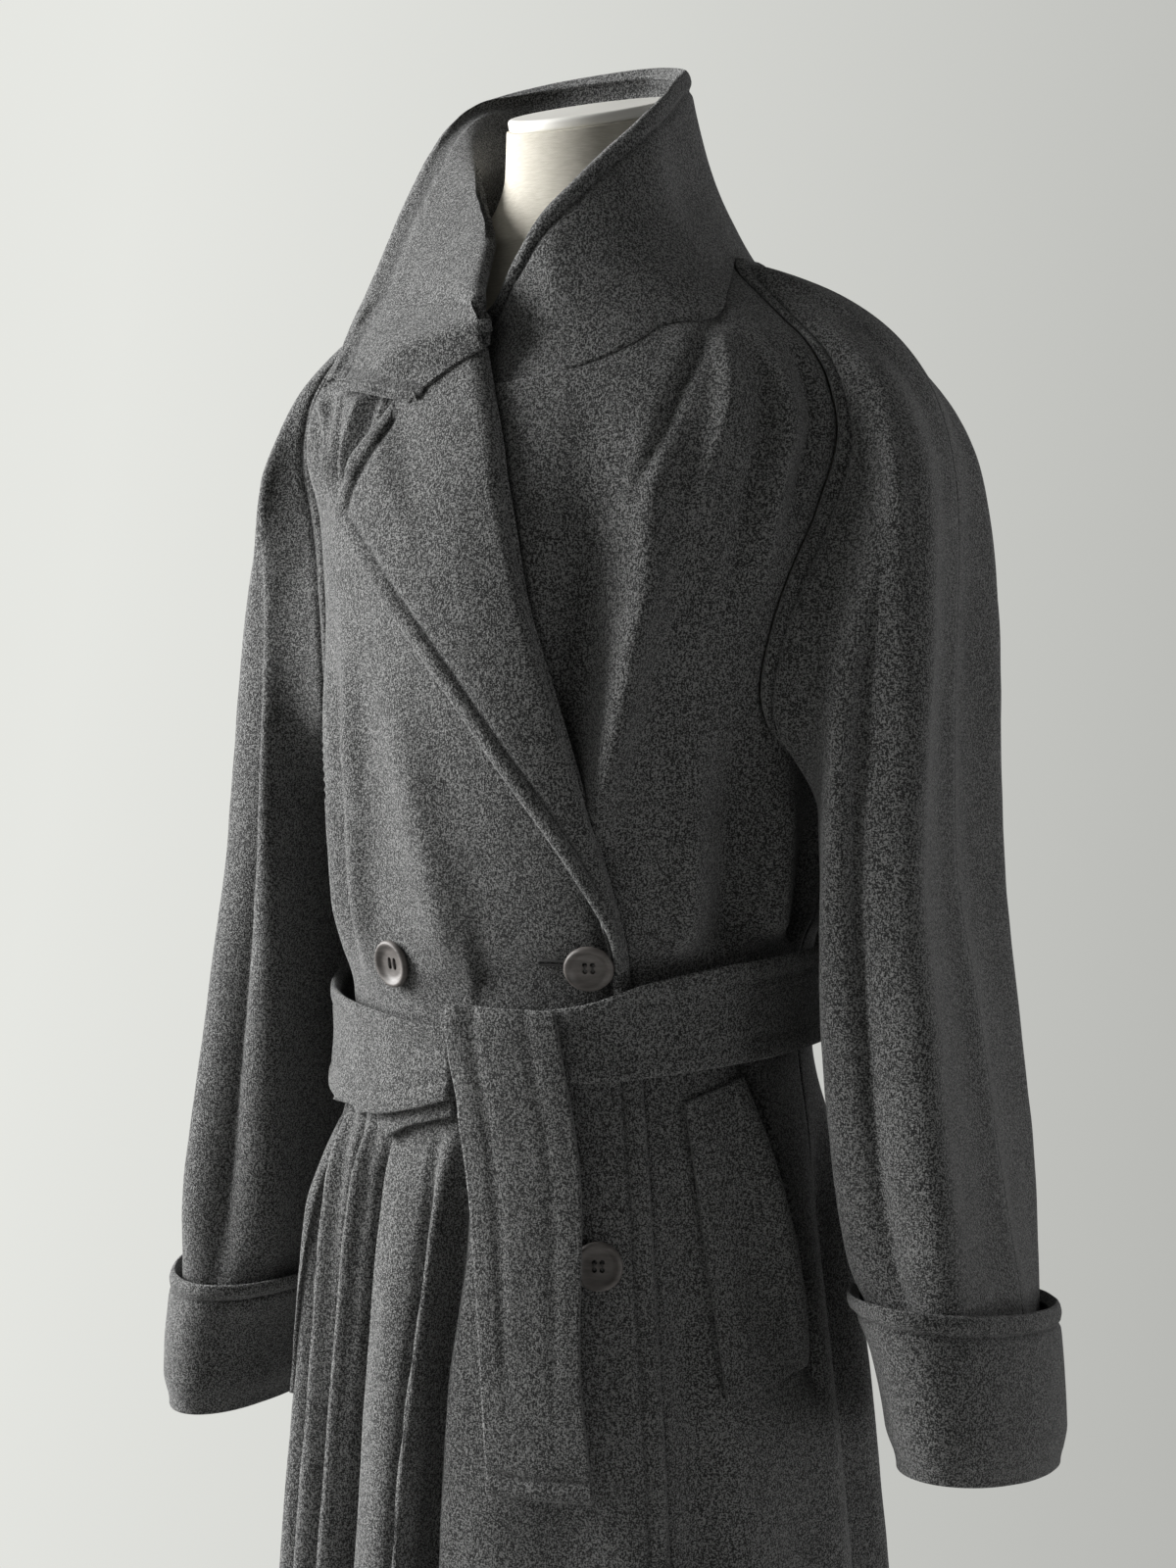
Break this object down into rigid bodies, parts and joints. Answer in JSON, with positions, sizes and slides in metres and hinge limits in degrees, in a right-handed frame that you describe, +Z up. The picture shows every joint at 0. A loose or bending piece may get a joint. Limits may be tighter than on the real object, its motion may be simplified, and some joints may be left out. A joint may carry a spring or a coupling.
{
  "type": "double-breasted coat on a limbless dress form",
  "caption": "Long double-breasted wool coat with a turned-up collar, raglan sleeves and tie belt, on a limbless dress form with a round base.",
  "frame": {"origin": "middle of the underside of the round base, on the floor", "axes": "+Z up, -Y towards the coat's front, +X towards the wearer's left"},
  "size_m": [0.5758, 0.3804, 1.6015],
  "materials": {
    "wool": "matte felted wool, charcoal grey with light and dark fibres",
    "horn": "polished dark horn",
    "linen": "plain-woven cream linen",
    "cap": "satin off-white",
    "steel": "brushed",
    "enamel": "satin off-white"
  },
  "bodies": {
    "root": {"coat_front_left": "wool", "coat_front_right": "wool", "coat_back": "wool", "lapel_right": "wool", "sleeve_left_front": "wool", "sleeve_left_back": "wool", "sleeve_right_front": "wool", "sleeve_right_back": "wool", "cuff_left": "wool", "cuff_right": "wool", "collar": "wool", "belt_band": "wool", "belt_tail": "wool", "belt_short_end": "wool", "pocket_left": "wool", "pocket_right": "wool", "button_upper_left": "horn", "button_upper_right": "horn", "button_lower_left": "horn", "form_torso": "linen", "form_neck_cap": "cap", "stand_pole": "steel", "stand_base": "enamel"}
  },
  "joints": []
}
